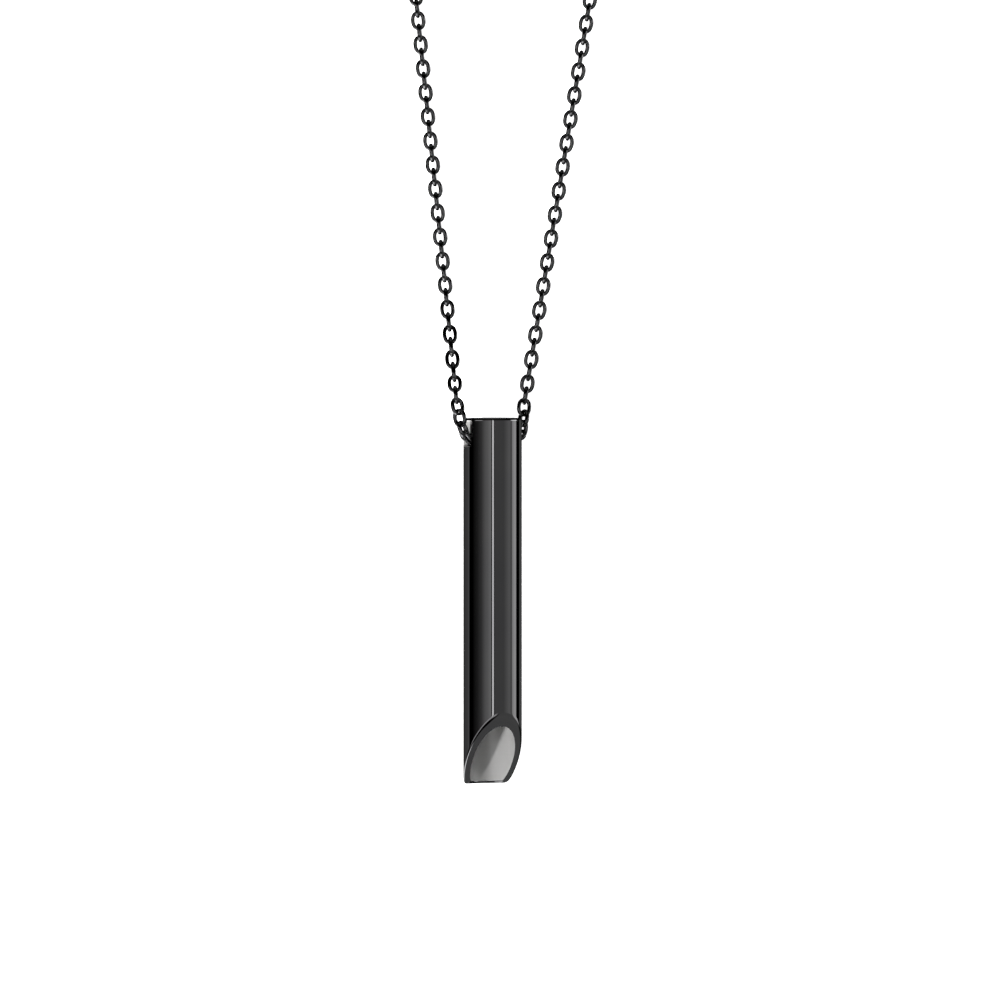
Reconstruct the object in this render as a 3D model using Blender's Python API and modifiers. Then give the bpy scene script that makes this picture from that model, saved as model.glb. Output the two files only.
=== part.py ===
"""A breathing-tube pendant on a cable chain, laid out flat on a surface.

Frame: metres, +Z up. The pendant lies along Y with its mouthpiece at -Y and the surface at z = 0.
The chain goes through two windows at the +Y end, runs away towards +Y and ends wound in a coil.
"""
import math

import bmesh
import bpy
from mathutils import Matrix, Vector

MM = 0.001

# Pendant tube
TUBE_RADIUS = 4.0 * MM
TUBE_LENGTH = 50.0 * MM
BORE_RADIUS = 3.05 * MM
TOP_EDGE_RADIUS = 0.30 * MM
MOUTH_EDGE_RADIUS = 0.25 * MM
TUBE_STEPS = 48
ROLL = math.radians(25.0)          # turn of the cut face from straight up, about the tube's axis
TUBE_CENTRE = Vector((0.0, 0.0, TUBE_RADIUS))
FACING = Vector((math.sin(ROLL), 0.0, math.cos(ROLL)))      # the way the mouthpiece's cut face looks
ACROSS = Vector((math.cos(ROLL), 0.0, -math.sin(ROLL)))     # axis of the two windows

# Mouthpiece: a flat slanted face from the lip to the side of the tube
CUT_LIP = -2.05 * MM               # where the face meets the mouth end, along FACING
CUT_HEIGHT = 9.50 * MM             # how far up the tube the face runs

# Windows for the chain, one through each wall
WINDOW_WIDTH = 2.8 * MM
WINDOW_HEIGHT = 3.64 * MM
WINDOW_TOP = 0.34 * MM             # from the tube's top end down to the window
WINDOW_CORNER = 0.25 * MM

# End plug, pressed into the top of the bore
PLUG_THICKNESS = 0.90 * MM
PLUG_GAP = 0.01 * MM
PLUG_EDGE = 0.10 * MM

# Chain links
WIRE_RADIUS = 0.23 * MM
LINK_WIDTH = 2.0 * MM
LINK_PITCH = 1.643 * MM
LINK_PLAY = 0.02 * MM
BEND_SLACK = 0.5 * MM
LINK_END_STEPS = 8
CHAIN_RADIUS = LINK_WIDTH / 2

# The chain's route: middle-line points in mm, from the left strand through the tube to the right strand
LEFT_ROUTE = (
    (-11.20, 89.4, 3.15), (-10.75, 85.2, 2.20), (-10.33, 81.0, 1.22), (-9.93, 77.0, 1.02), (-9.42, 72.0, 1.02),
    (-8.41, 62.0, 1.02), (-7.40, 52.0, 1.02), (-6.58, 44.0, 1.10), (-6.08, 39.0, 1.75), (-5.62, 34.5, 3.10),
    (-5.22, 30.5, 4.75), (-4.93, 27.6, 5.75), (-4.62, 25.86, 6.15), (-4.35, 24.24, 6.32), (-3.75, 22.71, 6.38),
)
THROUGH_ROUTE = (
    (-3.27, 21.96, 5.12), (-1.90, 21.90, 4.20), (-0.40, 21.90, 3.45), (1.15, 22.00, 2.85), (2.65, 22.35, 2.40),
)
RIGHT_ROUTE = (
    (4.36, 23.10, 2.10), (4.40, 24.75, 2.00), (4.25, 26.20, 1.15), (4.62, 28.8, 1.02), (5.46, 34.0, 1.02),
    (7.09, 44.0, 1.02), (8.72, 54.0, 1.02), (10.35, 64.0, 1.02), (11.98, 74.0, 1.02), (13.28, 82.0, 1.02),
    (14.26, 88.0, 1.02),
)
ROUTE_STEPS = 24                   # points worked out between two route points
THROUGH_LINKS = 8                  # links that swing with the pendant, two of them left of the tube's bore
THROUGH_LEFT_LINKS = 2
SIDE_LINKS = 4                     # separate links modelled beyond them on each side
ROLLS = {                          # turn of a link about its own length, in degrees; 0 is face up
    "left": (-30.0, 30.0, 90.0, 0.0),
    "right": (-50.0, 15.0, 90.0, 0.0),
    "through": (-60.0, 55.0, -15.0, 70.0, -30.0, 60.0, -40.0, 55.0),
}

# Coils of stored chain: the right strand's below, the left strand's on top of it
COIL_CENTRE = Vector((2.0 * MM, 99.0 * MM, 0.0))
COIL_OUTER = 15.3 * MM
COIL_INNER = 6.4 * MM
COIL_HEIGHT = 2.05 * MM
COIL_LAYER_GAP = 0.05 * MM
COIL_STEPS = 48
COIL_EDGE = 0.6 * MM
FACE_GAP = 0.30 * MM
STRAND_POINT_SPACING = 4.5 * MM

# Clasp, lying on the coil, and the end ring, lying in the coil's middle
CLASP_LAY = math.radians(-82.0)    # direction from its eye to its tip
CLASP_EYE = Vector((11.62 * MM, 99.5 * MM, 5.60 * MM))
CLASP_THICKNESS = 2.0 * MM
CLASP_EYE_RADIUS = 1.5 * MM
CLASP_EYE_HOLE = 1.0 * MM
CLASP_EYE_THICKNESS = 0.9 * MM
CLASP_EYE_LENGTH = 1.35 * MM        # how far the thin eye reaches towards the hook
CLASP_HOOK_CENTRE = Vector((6.3 * MM, 0.0, 0.0))            # in the clasp's own frame, its eye at the origin
CLASP_HOOK_OUTER = (3.3 * MM, 2.8 * MM)
CLASP_HOOK_INNER = (1.95 * MM, 1.55 * MM)
CLASP_PIVOT = Vector((3.3 * MM, -0.55 * MM, 0.0))
CLASP_GATE = ((5.2, -1.0), (6.0, -0.6), (8.2, -0.6), (8.2, -4.0), (3.9, -4.0))      # opening in the hook, mm
CLASP_SLOT = ((1.55, 4.5), (1.55, 0.35), (2.3, -1.3), (3.0, -4.5), (6.2, -4.5), (5.5, -1.2), (4.6, -0.5),
              (4.35, 4.5))         # room for the lever between the cheeks, mm
LEVER_ARM = (-138.0, -58.0, -150.0)                         # start, tip and root on the hook's oval, degrees
LEVER_ARM_OUTER_GAP = 0.35 * MM
LEVER_ARM_INNER_GAP = 0.10 * MM
LEVER_TAB = ((3.95, 0.75), (3.7, 2.2), (3.85, 3.35), (3.25, 3.65), (2.75, 3.3), (2.85, 1.5), (2.55, -0.4),
             (2.75, -1.1))         # thumb tab and the boss's back, mm
PIN_RADIUS = 0.35 * MM
PIN_FIT_GAP = 0.01 * MM
PIN_RUNNING_GAP = 0.05 * MM
LEVER_THICKNESS = 0.80 * MM
SLOT_THICKNESS = 1.0 * MM
SPRING_RADIUS = 0.32 * MM
SPRING_WIRE = 0.07 * MM
SPRING_TURNS = 4
SPRING_TURN_POINTS = 8
SPRING_START = Vector((1.68 * MM, 1.15 * MM, 0.0))          # on the back wall of the slot
SPRING_LENGTH = 0.98 * MM
JUMP_RING_RADIUS = 1.60 * MM
JUMP_RING_WIRE = 0.25 * MM
JUMP_RING_IN_EYE = -0.35 * MM       # where the ring passes through the eye, along the clasp
JUMP_RING_TILT = math.radians(45.0)
END_RING_RADIUS = 2.0 * MM
END_RING_WIRE = 0.35 * MM
END_RING_CENTRE = Vector((0.6 * MM, 97.6 * MM, 0.614 * MM))
END_RING_HINGE = Vector((0.725, 0.689, 0.0))                # across the link that holds it
END_RING_TILT = math.radians(7.0)  # the side in the link's end is held up a little
RING_POINTS = 24


def clear_scene():
    for item in list(bpy.data.objects):
        bpy.data.objects.remove(item, do_unlink=True)


def make_collection(name):
    group = bpy.data.collections.new(name)
    bpy.context.scene.collection.children.link(group)
    return group


def make_material(name, colour, roughness, metallic):
    material = bpy.data.materials.new(name)
    material.use_nodes = True
    shader = material.node_tree.nodes["Principled BSDF"]
    shader.inputs["Base Color"].default_value = (*colour, 1.0)
    shader.inputs["Roughness"].default_value = roughness
    shader.inputs["Metallic"].default_value = metallic
    return material


clear_scene()
PARTS = make_collection("breathing_pendant")
CUTTERS = make_collection("cutters")
BLACK_STEEL = make_material("black_steel", (0.03, 0.03, 0.032), 0.18, 1.0)
BARE_STEEL = make_material("bare_steel", (0.35, 0.35, 0.35), 0.25, 1.0)
CHAIN_STEEL = make_material("chain_steel", (0.035, 0.035, 0.04), 0.25, 1.0)


def frame_matrix(place, x_axis, y_axis, z_axis):
    turn = Matrix((x_axis, y_axis, z_axis)).transposed()
    return Matrix.Translation(place) @ turn.to_4x4()


def add_object(name, data, matrix, material=None, group=PARTS):
    item = bpy.data.objects.new(name, data)
    group.objects.link(item)
    item.matrix_world = matrix
    if material:
        data.materials.append(material)
    return item


def hide_cutter(item):
    item.hide_render = True
    item.display_type = "WIRE"
    return item


def cut(item, cutter):
    step = item.modifiers.new("cut_" + cutter.name, "BOOLEAN")
    step.operation = "DIFFERENCE"
    step.object = cutter
    step.solver = "EXACT"


def box_mesh(name, size):
    mesh = bpy.data.meshes.new(name)
    shape = bmesh.new()
    bmesh.ops.create_cube(shape, size=1.0, matrix=Matrix.Diagonal((*size, 1.0)))
    shape.to_mesh(mesh)
    shape.free()
    return mesh


def round_mesh(name, radius, height, segments):
    mesh = bpy.data.meshes.new(name)
    shape = bmesh.new()
    bmesh.ops.create_cone(
        shape, cap_ends=True, segments=segments, radius1=radius, radius2=radius, depth=height)
    shape.to_mesh(mesh)
    shape.free()
    return mesh


def profile_mesh(name, points):
    """A closed outline in the XZ plane, for a Screw modifier about Z."""
    mesh = bpy.data.meshes.new(name)
    edges = [(i, (i + 1) % len(points)) for i in range(len(points))]
    mesh.from_pydata([(radius, 0.0, height) for radius, height in points], edges, [])
    return mesh


def turn_profile(item, steps):
    screw = item.modifiers.new("turn", "SCREW")
    screw.axis = "Z"
    screw.steps = steps
    screw.render_steps = steps
    screw.use_merge_vertices = True
    screw.merge_threshold = 0.000001


def corner_arc(centre_radius, centre_height, radius, start, end, steps=3):
    """Points of a rounded corner, from one angle to another in degrees."""
    points = []
    for i in range(steps + 1):
        angle = math.radians(start + (end - start) * i / steps)
        points.append((centre_radius + radius * math.cos(angle), centre_height + radius * math.sin(angle)))
    return points


def outline_mesh(name, outlines, thickness):
    """A flat plate from one outer outline and its holes, made with a filled 2D curve."""
    curve = bpy.data.curves.new(name, "CURVE")
    curve.dimensions = "2D"
    curve.fill_mode = "BOTH"
    curve.extrude = thickness / 2
    for outline in outlines:
        spline = curve.splines.new("POLY")
        spline.points.add(len(outline) - 1)
        for point, (x, y) in zip(spline.points, outline):
            point.co = (x, y, 0.0, 1.0)
        spline.use_cyclic_u = True
    holder = bpy.data.objects.new(name, curve)
    bpy.context.scene.collection.objects.link(holder)
    evaluated = holder.evaluated_get(bpy.context.evaluated_depsgraph_get())
    mesh = bpy.data.meshes.new_from_object(evaluated)
    bpy.data.objects.remove(holder, do_unlink=True)
    shape = bmesh.new()
    shape.from_mesh(mesh)
    bmesh.ops.remove_doubles(shape, verts=shape.verts, dist=0.000001)
    bmesh.ops.recalc_face_normals(shape, faces=shape.faces)
    shape.to_mesh(mesh)
    shape.free()
    mesh.name = name
    return mesh


def ellipse(centre, half_x, half_y, start=0.0, end=360.0, steps=28):
    """Points of an ellipse or of a stretch of one, between two angles in degrees."""
    closed = abs(end - start) >= 360.0
    count = steps if closed else steps + 1
    points = []
    for i in range(count):
        angle = math.radians(start + (end - start) * i / steps)
        points.append((centre.x + half_x * math.cos(angle), centre.y + half_y * math.sin(angle)))
    return points


def wire_curve(name, points, radius, closed, resolution=2):
    curve = bpy.data.curves.new(name, "CURVE")
    curve.dimensions = "3D"
    curve.bevel_depth = radius
    curve.bevel_resolution = resolution
    curve.use_fill_caps = not closed
    spline = curve.splines.new("POLY")
    spline.points.add(len(points) - 1)
    for point, place in zip(spline.points, points):
        point.co = (*place, 1.0)
    spline.use_cyclic_u = closed
    return curve


def ring_points(radius, count):
    return [(radius * math.cos(2 * math.pi * i / count), radius * math.sin(2 * math.pi * i / count), 0.0)
            for i in range(count)]


# ---------------------------------------------------------------- pendant

TUBE_FRAME = frame_matrix(TUBE_CENTRE, ACROSS, -FACING, Vector((0.0, 1.0, 0.0)))


def make_cut_cutter():
    """The block that leaves the flat slanted face of the mouthpiece."""
    mouth = -TUBE_LENGTH / 2
    rise = CUT_HEIGHT / (TUBE_RADIUS - CUT_LIP)
    clear = 3 * TUBE_RADIUS
    outline = [
        (CUT_LIP - TUBE_RADIUS, mouth - rise * TUBE_RADIUS),
        (clear, mouth + rise * (clear - CUT_LIP)),
        (clear, mouth - clear),
    ]
    mesh = outline_mesh("mouth_cutter", [outline], clear)
    matrix = frame_matrix(TUBE_CENTRE, FACING, Vector((0.0, 1.0, 0.0)), -ACROSS)
    return hide_cutter(add_object("mouth_cutter", mesh, matrix, group=CUTTERS))


def make_window_cutter():
    mesh = box_mesh("window_cutter", (4 * TUBE_RADIUS, WINDOW_WIDTH, WINDOW_HEIGHT))
    shape = bmesh.new()
    shape.from_mesh(mesh)
    long_edges = [edge for edge in shape.edges
                  if abs(edge.verts[0].co.x - edge.verts[1].co.x) > TUBE_RADIUS]
    bmesh.ops.bevel(shape, geom=long_edges, offset=WINDOW_CORNER, segments=2, profile=0.5, affect="EDGES")
    shape.to_mesh(mesh)
    shape.free()
    height = TUBE_LENGTH / 2 - WINDOW_TOP - WINDOW_HEIGHT / 2
    matrix = TUBE_FRAME @ Matrix.Translation((0.0, 0.0, height))
    return hide_cutter(add_object("window_cutter", mesh, matrix, group=CUTTERS))


def make_tube_body():
    top = TUBE_LENGTH / 2
    outline = corner_arc(TUBE_RADIUS - TOP_EDGE_RADIUS, top - TOP_EDGE_RADIUS, TOP_EDGE_RADIUS, 90.0, 0.0)
    mouth_edge = MOUTH_EDGE_RADIUS
    outline += corner_arc(TUBE_RADIUS - mouth_edge, mouth_edge - top, mouth_edge, 0.0, -90.0, 2)
    outline += [(BORE_RADIUS, -top), (BORE_RADIUS, top)]
    tube = add_object("tube_body", profile_mesh("tube_body", outline), TUBE_FRAME, BLACK_STEEL)
    turn_profile(tube, TUBE_STEPS)
    cut(tube, make_window_cutter())
    cut(tube, make_cut_cutter())


def make_end_plug():
    """A disc pressed into the bore, flush with the tube's top end."""
    radius = BORE_RADIUS * math.cos(math.pi / TUBE_STEPS) - PLUG_GAP
    half = PLUG_THICKNESS / 2
    outline = [(radius, half), (radius, PLUG_EDGE - half), (radius - PLUG_EDGE, -half)]
    plug = add_object("end_plug", profile_mesh("end_plug", outline + [(0.0, -half), (0.0, half)]),
                      TUBE_FRAME @ Matrix.Translation((0.0, 0.0, TUBE_LENGTH / 2 - half)), BLACK_STEEL)
    turn_profile(plug, TUBE_STEPS)


# ---------------------------------------------------------------- chain links

def smooth_route(points):
    """A Catmull-Rom curve through the route's points, as closely spaced points."""
    places = [Vector(point) * MM for point in points]
    places = [2 * places[0] - places[1]] + places + [2 * places[-1] - places[-2]]
    curve = []
    for i in range(1, len(places) - 2):
        before, start, end, after = places[i - 1:i + 3]
        for step in range(ROUTE_STEPS):
            t = step / ROUTE_STEPS
            curve.append(0.5 * (2 * start + (end - before) * t
                                + (2 * before - 5 * start + 4 * end - after) * t ** 2
                                + (3 * start - before - 3 * end + after) * t ** 3))
    curve.append(places[-2])
    return curve


def bend_slack(before, after):
    """How far a link slides back into the one before it where the chain bends."""
    return BEND_SLACK * (1.0 - before.dot(after)) * (before + after).normalized()


def walk(route, count):
    """The two ends of each link along a route, one link pitch apart, measured straight."""
    links = []
    start = route[0]
    index = 0
    while len(links) < count and index < len(route) - 1:
        if (route[index + 1] - start).length < LINK_PITCH:
            index += 1
            continue
        low, high = 0.0, 1.0
        for _ in range(30):
            middle = (low + high) / 2
            if (route[index].lerp(route[index + 1], middle) - start).length < LINK_PITCH:
                low = middle
            else:
                high = middle
        end = route[index].lerp(route[index + 1], high)
        if links:
            before = (links[-1][1] - links[-1][0]).normalized()
            shift = bend_slack(before, (end - start).normalized())
            start, end = start - shift, end - shift
        links.append((start, end))
        start = end
    return links


def link_outline():
    """The middle line of a link's wire: two half circles joined by straight sides."""
    end_radius = LINK_WIDTH / 2 - WIRE_RADIUS
    half_length = LINK_PITCH / 2 + WIRE_RADIUS + LINK_PLAY
    centre = half_length - end_radius
    points = []
    for side in (0, 1):
        for i in range(LINK_END_STEPS + 1):
            angle = math.pi * (side + i / LINK_END_STEPS)
            height = centre if side == 0 else -centre
            points.append((end_radius * math.cos(angle), height + end_radius * math.sin(angle), 0.0))
    return points


def face_normal(direction, roll_degrees):
    """The way a link's flat side faces: up, turned about its own length."""
    up = Vector((0.0, 0.0, 1.0))
    flat = (up - up.dot(direction) * direction).normalized()
    return Matrix.Rotation(math.radians(roll_degrees), 3, direction) @ flat


LINK_CURVE = wire_curve("link", link_outline(), WIRE_RADIUS, closed=True)
LINK_CURVE.materials.append(CHAIN_STEEL)


def make_link(name, start, end, normal):
    direction = (end - start).normalized()
    matrix = frame_matrix((start + end) / 2, direction.cross(normal), direction, normal)
    add_object(name, LINK_CURVE, matrix)


def make_links():
    """Links by name, walking outwards from the left window and then right through the tube."""
    left_path = smooth_route(LEFT_ROUTE + THROUGH_ROUTE[:1])
    left_path.reverse()
    left = walk(left_path, THROUGH_LEFT_LINKS + SIDE_LINKS)
    right_path = smooth_route(THROUGH_ROUTE + RIGHT_ROUTE)
    right = walk(right_path, THROUGH_LINKS - THROUGH_LEFT_LINKS + SIDE_LINKS)
    through = [(start, end) for end, start in reversed(left[:THROUGH_LEFT_LINKS])]
    through += right[:THROUGH_LINKS - THROUGH_LEFT_LINKS]
    groups = {
        "through": through,
        "left": left[THROUGH_LEFT_LINKS:],
        "right": right[THROUGH_LINKS - THROUGH_LEFT_LINKS:],
    }
    for side, links in groups.items():
        for i, (start, end) in enumerate(links):
            direction = (end - start).normalized()
            make_link(f"{side}_link_{i + 1}", start, end, face_normal(direction, ROLLS[side][i]))
    return left[-1][1], right[-1][1]


# ---------------------------------------------------------------- chain strands and coils

def make_strand(name, path, start):
    """The plain tube that stands for a strand, from its first link to the coil's side."""
    nearest = min(range(len(path)), key=lambda i: (path[i] - start).length)
    clear_of_coil = COIL_OUTER + CHAIN_RADIUS + FACE_GAP
    begin = WIRE_RADIUS + FACE_GAP + LINK_PLAY + WIRE_RADIUS
    points = []
    travelled = 0.0
    last = path[nearest]
    since_point = STRAND_POINT_SPACING
    for place in path[nearest:]:
        travelled += (place - last).length
        since_point += (place - last).length
        last = place
        flat = Vector((place.x - COIL_CENTRE.x, place.y - COIL_CENTRE.y))
        if flat.length < clear_of_coil:
            break
        if travelled >= begin and since_point >= STRAND_POINT_SPACING:
            points.append(place.copy())
            since_point = 0.0
    points.append(last)
    add_object(name, wire_curve(name, points, CHAIN_RADIUS, closed=False), Matrix.Identity(4), CHAIN_STEEL)


def make_coil(name, bottom):
    inner, outer, height = COIL_INNER, COIL_OUTER, COIL_HEIGHT
    outline = corner_arc(outer - COIL_EDGE, height - COIL_EDGE, COIL_EDGE, 90.0, 0.0, 2)
    outline += corner_arc(outer - COIL_EDGE, COIL_EDGE, COIL_EDGE, 0.0, -90.0, 2)
    outline += corner_arc(inner + COIL_EDGE, COIL_EDGE, COIL_EDGE, -90.0, -180.0, 2)
    outline += corner_arc(inner + COIL_EDGE, height - COIL_EDGE, COIL_EDGE, 180.0, 90.0, 2)
    matrix = Matrix.Translation(COIL_CENTRE + Vector((0.0, 0.0, bottom)))
    coil = add_object(name, profile_mesh(name, outline), matrix, CHAIN_STEEL)
    turn_profile(coil, COIL_STEPS)


def make_strands_and_coils(left_start, right_start):
    left_path = smooth_route(LEFT_ROUTE)
    left_path.reverse()
    make_strand("chain_left", left_path, left_start)
    make_strand("chain_right", smooth_route(RIGHT_ROUTE), right_start)
    make_coil("coil_right", 0.0)
    make_coil("coil_left", COIL_HEIGHT + COIL_LAYER_GAP)


# ---------------------------------------------------------------- clasp and rings

CLASP_FRAME = Matrix.Translation(CLASP_EYE) @ Matrix.Rotation(CLASP_LAY, 4, "Z")


def in_mm(points):
    return [(x * MM, y * MM) for x, y in points]


def lever_outline():
    """Arm that closes the hook's gate, boss on the pin, and a thumb tab through the body's other side."""
    start, tip, root = LEVER_ARM
    outer = [radius - LEVER_ARM_OUTER_GAP for radius in CLASP_HOOK_OUTER]
    inner = [radius + LEVER_ARM_INNER_GAP for radius in CLASP_HOOK_INNER]
    arm = ellipse(CLASP_HOOK_CENTRE, *outer, start, tip, 8) + ellipse(CLASP_HOOK_CENTRE, *inner, tip, root, 8)
    return arm + in_mm(LEVER_TAB)


def make_clasp_body():
    """A claw-shaped plate: eye, cheeks on both sides of the lever's slot, and the hook."""
    hook_outer = ellipse(CLASP_HOOK_CENTRE, *CLASP_HOOK_OUTER, -150.0, 150.0, 26)
    eye_outer = ellipse(Vector((0.0, 0.0)), CLASP_EYE_RADIUS, CLASP_EYE_RADIUS, 120.0, 240.0, 8)
    hook_hole = ellipse(CLASP_HOOK_CENTRE, *CLASP_HOOK_INNER, steps=24)
    eye_hole = ellipse(Vector((0.0, 0.0)), CLASP_EYE_HOLE, CLASP_EYE_HOLE, steps=16)
    mesh = outline_mesh("clasp_body", [hook_outer + eye_outer, hook_hole, eye_hole], CLASP_THICKNESS)
    body = add_object("clasp_body", mesh, CLASP_FRAME, CHAIN_STEEL)

    gate = outline_mesh("gate_cutter", [in_mm(CLASP_GATE)], 2 * CLASP_THICKNESS)
    slot = outline_mesh("slot_cutter", [in_mm(CLASP_SLOT)], SLOT_THICKNESS)
    pin_hole = round_mesh("pin_hole_cutter", PIN_RADIUS + PIN_FIT_GAP, 2 * CLASP_THICKNESS, 20)
    step = (CLASP_THICKNESS - CLASP_EYE_THICKNESS) / 2
    thinning = box_mesh("eye_cutter", (4 * CLASP_EYE_RADIUS, 4 * CLASP_EYE_RADIUS, 2 * step))
    thinning_x = CLASP_EYE_LENGTH - 2 * CLASP_EYE_RADIUS
    thinning_z = CLASP_EYE_THICKNESS / 2 + step
    for name, cutter, place in (("gate_cutter", gate, Vector()), ("slot_cutter", slot, Vector()),
                                ("pin_hole_cutter", pin_hole, CLASP_PIVOT),
                                ("eye_cutter_top", thinning, Vector((thinning_x, 0.0, thinning_z))),
                                ("eye_cutter_bottom", thinning, Vector((thinning_x, 0.0, -thinning_z)))):
        matrix = CLASP_FRAME @ Matrix.Translation(place)
        cut(body, hide_cutter(add_object(name, cutter, matrix, group=CUTTERS)))


def make_clasp_lever():
    matrix = CLASP_FRAME @ Matrix.Translation(CLASP_PIVOT)
    outline = [(x - CLASP_PIVOT.x, y - CLASP_PIVOT.y) for x, y in lever_outline()]
    hole = ellipse(Vector((0.0, 0.0)), PIN_RADIUS + PIN_RUNNING_GAP, PIN_RADIUS + PIN_RUNNING_GAP, steps=20)
    mesh = outline_mesh("clasp_lever", [outline, hole], LEVER_THICKNESS)
    add_object("clasp_lever", mesh, matrix, CHAIN_STEEL)


def make_clasp_pin():
    mesh = round_mesh("clasp_pin", PIN_RADIUS, CLASP_THICKNESS, 20)
    add_object("clasp_pin", mesh, CLASP_FRAME @ Matrix.Translation(CLASP_PIVOT), CHAIN_STEEL)


def make_clasp_spring():
    """A small compression spring between the lever and the back of its slot."""
    points = []
    for i in range(SPRING_TURNS * SPRING_TURN_POINTS + 1):
        angle = 2 * math.pi * i / SPRING_TURN_POINTS
        along = SPRING_LENGTH * i / (SPRING_TURNS * SPRING_TURN_POINTS)
        across, up = SPRING_RADIUS * math.cos(angle), SPRING_RADIUS * math.sin(angle)
        points.append((SPRING_START.x + along, SPRING_START.y + across, up))
    add_object("clasp_spring", wire_curve("clasp_spring", points, SPRING_WIRE, closed=False, resolution=1),
               CLASP_FRAME, BARE_STEEL)


def make_rings():
    """The jump ring stands through the clasp's eye; the end ring lies in the coil's middle."""
    jump = wire_curve("clasp_jump_ring", ring_points(JUMP_RING_RADIUS, RING_POINTS), JUMP_RING_WIRE, closed=True)
    place = Vector((JUMP_RING_IN_EYE - JUMP_RING_RADIUS, 0.0, 0.0))
    matrix = CLASP_FRAME @ Matrix.Translation(place) @ Matrix.Rotation(JUMP_RING_TILT, 4, "X")
    add_object("clasp_jump_ring", jump, matrix, CHAIN_STEEL)
    end = wire_curve("end_ring", ring_points(END_RING_RADIUS, RING_POINTS), END_RING_WIRE, closed=True)
    matrix = Matrix.Translation(END_RING_CENTRE) @ Matrix.Rotation(END_RING_TILT, 4, END_RING_HINGE)
    add_object("end_ring", end, matrix, CHAIN_STEEL)


make_tube_body()
make_end_plug()
make_strands_and_coils(*make_links())
make_clasp_body()
make_clasp_lever()
make_clasp_pin()
make_clasp_spring()
make_rings()
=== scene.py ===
"""A breathing-tube pendant on a cable chain, laid flat.

Metres, +Z up: the pendant lies along Y with its mouthpiece at -Y, the surface is z = 0, and the chain runs
towards +Y to the coil that it is stored in.
"""
import math

import bmesh
import bpy
from mathutils import Matrix, Vector


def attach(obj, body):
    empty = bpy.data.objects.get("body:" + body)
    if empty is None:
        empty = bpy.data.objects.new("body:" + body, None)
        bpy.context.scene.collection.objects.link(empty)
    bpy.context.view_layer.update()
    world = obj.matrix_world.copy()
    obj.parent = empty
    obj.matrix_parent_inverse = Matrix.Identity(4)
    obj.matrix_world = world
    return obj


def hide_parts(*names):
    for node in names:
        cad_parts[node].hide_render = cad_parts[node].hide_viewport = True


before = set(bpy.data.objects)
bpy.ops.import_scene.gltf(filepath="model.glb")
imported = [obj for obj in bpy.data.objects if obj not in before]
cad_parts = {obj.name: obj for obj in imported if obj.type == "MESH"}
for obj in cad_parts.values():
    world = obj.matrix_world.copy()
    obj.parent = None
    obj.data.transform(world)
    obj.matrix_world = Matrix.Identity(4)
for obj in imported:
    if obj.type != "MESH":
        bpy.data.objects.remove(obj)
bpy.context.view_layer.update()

MM = 0.001

# Tube, the same as its solid but for the plug's gap and edge
TUBE_RADIUS = 4.0 * MM
TUBE_LENGTH = 50.0 * MM
BORE_RADIUS = 3.05 * MM
TOP = TUBE_LENGTH / 2
ROLL = math.radians(25.0)
TUBE_CENTRE = Vector((0.0, 0.0, TUBE_RADIUS))
FACING = Vector((math.sin(ROLL), 0.0, math.cos(ROLL)))      # the way the mouthpiece's cut face looks
ACROSS = Vector((math.cos(ROLL), 0.0, -math.sin(ROLL)))     # axis of the two windows
CUT_LIP = -2.05 * MM
CUT_HEIGHT = 9.50 * MM
WINDOW_WIDTH = 2.8 * MM
WINDOW_HEIGHT = 3.64 * MM
WINDOW_TOP = 0.34 * MM
WINDOW_CORNER = 0.25 * MM
PLUG_THICKNESS = 0.90 * MM
PLUG_GAP = 0.015 * MM               # 0.010 mm in the solid
PLUG_EDGE = 0.05 * MM               # 0.10 mm in the solid

# The tube's edges, in finer steps and rounder than its solid has
COLUMNS = 240                       # lengthwise sections of the wall
TOP_EDGE = 0.40 * MM                # rounding of the closed end's outer edge, 0.30 mm in the solid
BORE_EDGE = 0.06 * MM
RIM_WALL = 0.50 * MM                # rounding of the cut's outer edge at its sides: lengthwise on the wall
RIM_EDGE = 0.34 * MM                # and inwards on the face
RIM_EDGE_END = 0.32 * MM            # and round the mouth end
BORE_EDGE_END = 0.36 * MM           # rounding of the bore's edge at the mouth end
APEX_WALL = 0.60 * MM               # where the face runs out into the tube's side, it is blended in
APEX_FACE = 0.40 * MM
LIP_BLEND = 0.16 * MM               # and where it meets the flat end
APEX_START, APEX_SPAN = 0.55, 0.45  # where the apex's own rounding sets in, as the cosine round the tube
END_START, END_SPAN = 0.55, 0.2     # and the mouth end's
EDGE_STEPS = 6
GUARD = 0.04 * MM                   # a row this near to each rounding keeps the long faces' shading flat
WINDOW_CORNER_STEPS = 5
BORE_MARGIN = 0.0005 * MM           # faces this near to the bore's wall are bare
WINDOW_MARGIN = 0.01 * MM           # and faces this near to a window, but for the outermost
WINDOW_SKIN = 0.04 * MM
PLUG_STEPS = 96
PLUG_MERGE = 0.0001 * MM
TUBE_SHARP_ANGLE = 40.0             # degrees

# Chain links, the same as their solids
WIRE_RADIUS = 0.23 * MM
LINK_PITCH = 1.643 * MM
LINK_PLAY = 0.02 * MM
BEND_SLACK = 0.5 * MM

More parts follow.
